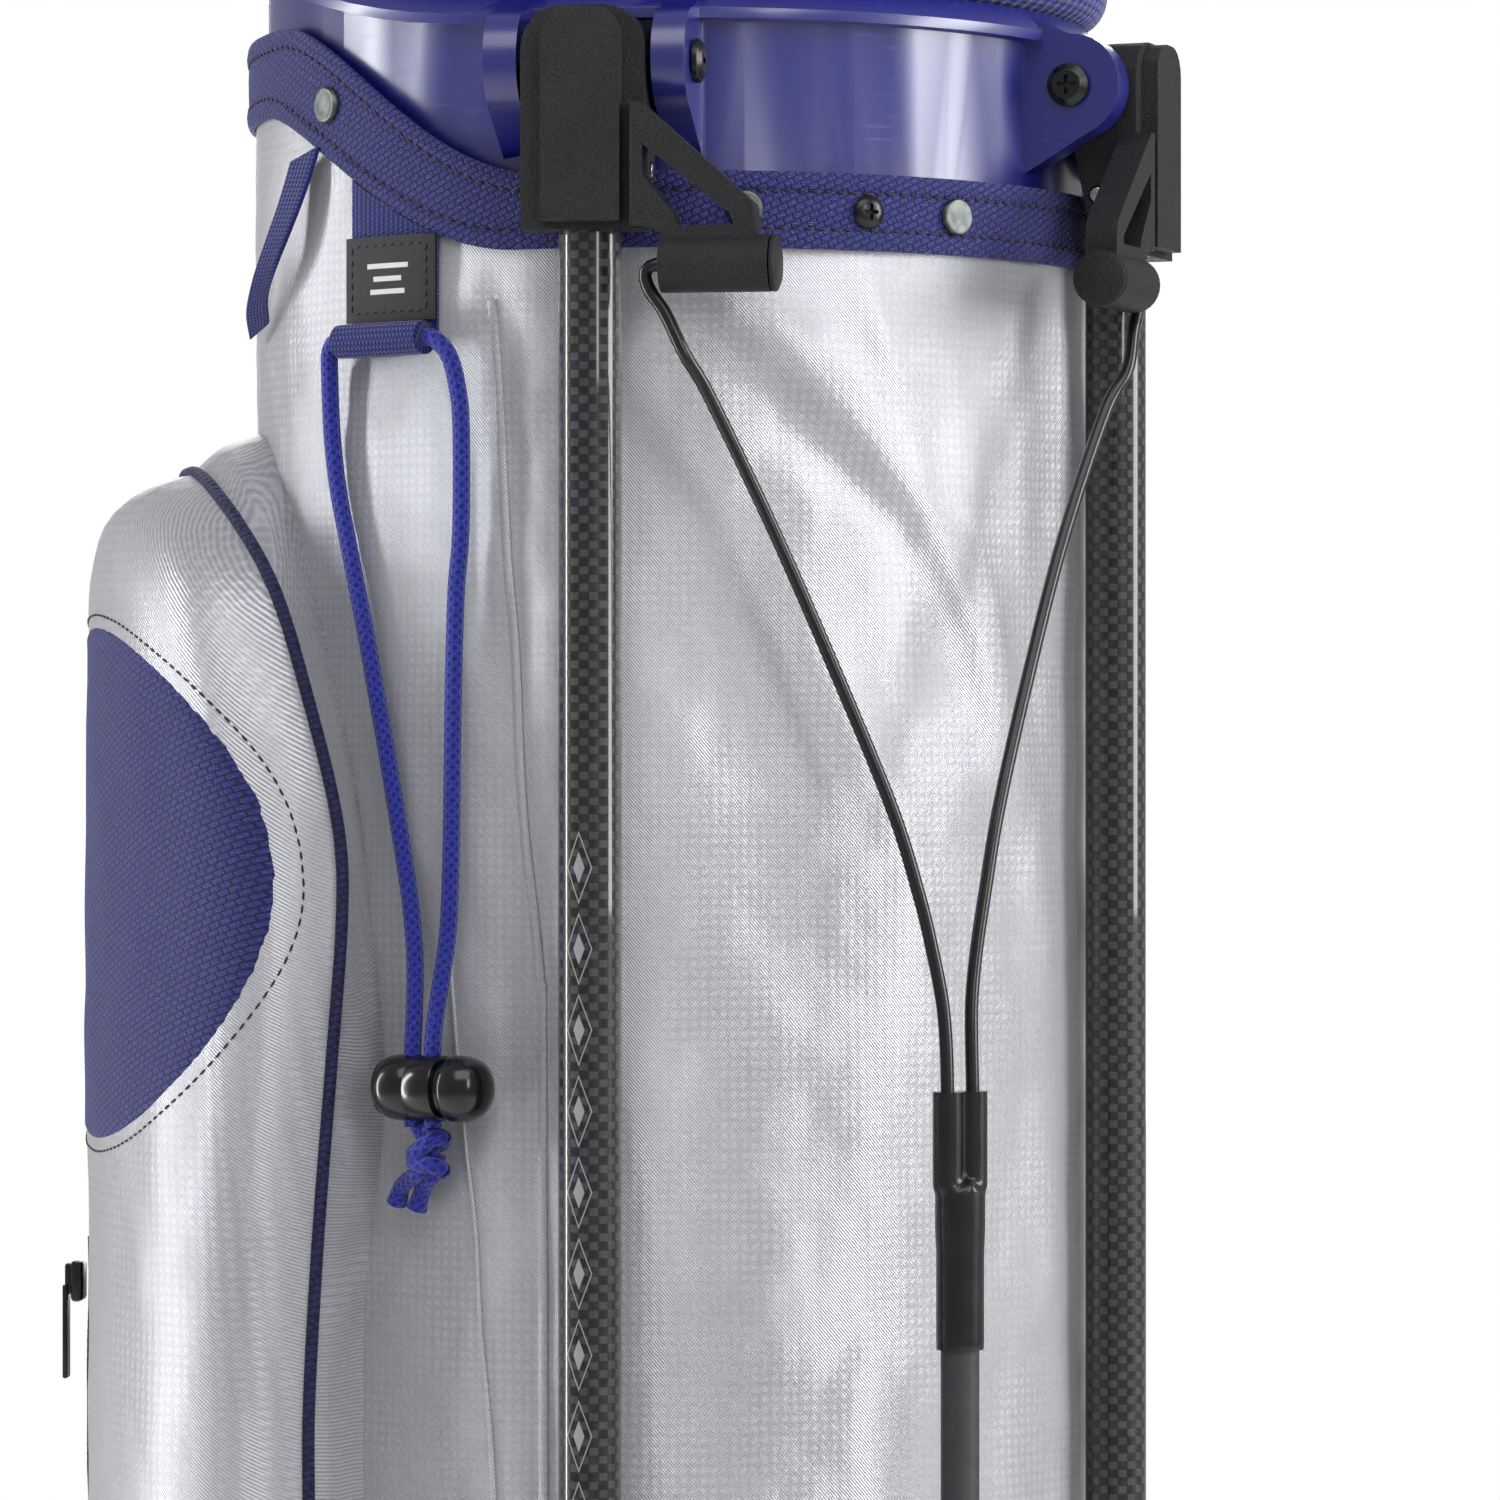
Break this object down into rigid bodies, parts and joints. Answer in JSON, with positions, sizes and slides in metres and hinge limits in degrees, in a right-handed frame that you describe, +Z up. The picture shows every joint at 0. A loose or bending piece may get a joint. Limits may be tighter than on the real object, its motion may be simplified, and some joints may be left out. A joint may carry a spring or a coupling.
{
  "type": "golf stand bag",
  "caption": "Golf stand bag: moulded collar, fabric tube with pockets, and two folding legs worked by a foot plate, rod and bent wires.",
  "frame": {"origin": "on the floor plane, at the centre of the base cup's hub", "axes": "+Z up along the bag, -Y towards the legs, +X to the right seen from the leg side"},
  "size_m": [0.2722, 0.3085, 0.8963],
  "materials": {
    "collar_plastic": "semi-gloss moulded royal blue plastic",
    "navy_fabric": "navy woven polyester with bound edges",
    "silver_fabric": "silver-white ripstop with a soft sheen",
    "cuff_knit": "ribbed knit over foam",
    "webbing_blue": "royal blue webbing and braid",
    "black_plastic": "matte grained black plastic",
    "gloss_black": "gloss black plastic",
    "carbon": "woven carbon under clear gloss",
    "coated_steel": "black coated steel",
    "steel": "bright steel",
    "rubber": "matte black rubber",
    "black_webbing": "black woven webbing and padding",
    "foam": "dark felt-faced foam"
  },
  "bodies": {
    "bag": {"accessory_pocket": "navy_fabric", "apparel_pocket": "silver_fabric", "apparel_zip_tape": "black_webbing", "bag_body": "silver_fabric", "ball_pocket": "silver_fabric", "ball_zip_tape": "black_webbing", "band_rivet_1": "steel", "band_rivet_2": "steel", "band_rivet_3": "steel", "band_rivet_4": "steel", "base_cup": "black_plastic", "collar": "collar_plastic", "collar_band": "navy_fabric", "collar_screw": "coated_steel", "cord_lock_barrel": "gloss_black", "cord_lock_spring": "steel", "cuff_roll": "cuff_knit", "divider_frame": "gloss_black", "drawcord_knot": "webbing_blue", "drawcord_left": "webbing_blue", "drawcord_right": "webbing_blue", "floor_pad": "foam", "foot_hinge_pin": "steel", "grab_handle": "black_plastic", "hip_pad": "black_webbing", "label_patch": "black_webbing", "pivot_screw_left": "coated_steel", "pivot_screw_right": "coated_steel", "side_loop": "webbing_blue", "spine_stay_left": "coated_steel", "spine_stay_right": "coated_steel", "strap_buckle_a": "gloss_black", "strap_buckle_b": "gloss_black", "strap_pad_a": "black_webbing", "strap_pad_b": "black_webbing", "strap_tail_a": "black_webbing", "strap_tail_b": "black_webbing", "strap_webbing_a": "black_webbing", "strap_webbing_b": "black_webbing", "towel_webbing": "webbing_blue"},
    "leg_left": {"leg_bracket_left": "black_plastic", "leg_tube_left": "carbon", "leg_rivet_left": "steel", "wire_cap_left": "black_plastic", "leg_foot_left": "rubber"},
    "leg_right": {"leg_bracket_right": "black_plastic", "leg_tube_right": "carbon", "leg_rivet_right": "steel", "wire_cap_right": "black_plastic", "leg_foot_right": "rubber"},
    "actuator": {"shrink_sleeve": "gloss_black", "actuator_rod": "coated_steel", "rod_end": "black_plastic"},
    "wire_left": {"wire_left": "coated_steel"},
    "wire_right": {"wire_right": "coated_steel"},
    "foot": {"foot_plate": "black_plastic", "rod_pin": "steel"},
    "plunger": {"cord_lock_plunger": "gloss_black"},
    "apparel_slider": {"apparel_zip_slider": "steel"},
    "ball_slider": {"ball_zip_slider": "steel"}
  },
  "joints": [
    {"name": "foot_plate_tilt", "type": "hinge", "parent": "bag", "child": "foot", "pos_m": [0, -0.0475, 0.009], "axis": [-1, 0, 0], "range_deg": [0, 8.8], "stiffness_Nm_per_rad": 8},
    {"name": "rod_slide", "type": "slide", "parent": "bag", "child": "actuator", "axis": [0, 0, 1], "range_m": [0, 0.01371]},
    {"name": "leg_left_swing", "type": "hinge", "parent": "bag", "child": "leg_left", "pos_m": [-0.07096, -0.08794, 0.83], "axis": [-0.7782, 0.628, 0], "range_deg": [0, 25]},
    {"name": "leg_right_swing", "type": "hinge", "parent": "bag", "child": "leg_right", "pos_m": [0.07096, -0.08794, 0.83], "axis": [-0.7782, -0.628, 0], "range_deg": [0, 25]},
    {"name": "wire_left_bend", "type": "hinge", "parent": "actuator", "child": "wire_left", "pos_m": [-0.00345, -0.1375, 0.582], "axis": [0.7092, -0.6306, 0.3152], "range_deg": [0, 5.3]},
    {"name": "wire_right_bend", "type": "hinge", "parent": "actuator", "child": "wire_right", "pos_m": [0.00345, -0.1375, 0.582], "axis": [0.7092, 0.6306, -0.3152], "range_deg": [0, 5.3]},
    {"name": "plunger_press", "type": "slide", "parent": "bag", "child": "plunger", "axis": [-0.5446, 0.8387, 0], "range_m": [0, 0.0015], "stiffness_N_per_m": 900, "deforming": ["cord_lock_spring"]},
    {"name": "apparel_zip_slide", "type": "slide", "parent": "bag", "child": "apparel_slider", "axis": [0, 0, -1], "range_m": [0, 0.3]},
    {"name": "ball_zip_slide", "type": "slide", "parent": "bag", "child": "ball_slider", "axis": [0, 0, -1], "range_m": [0, 0.085]}
  ],
  "couplings": [
    {"joint": "rod_slide", "follows": "foot_plate_tilt", "m_per_rad": 0.089263},
    {"joint": "leg_left_swing", "follows": "foot_plate_tilt", "ratio": 2.8405},
    {"joint": "leg_right_swing", "follows": "foot_plate_tilt", "ratio": 2.8405},
    {"joint": "wire_left_bend", "follows": "foot_plate_tilt", "ratio": 0.60241},
    {"joint": "wire_right_bend", "follows": "foot_plate_tilt", "ratio": 0.60241}
  ]
}
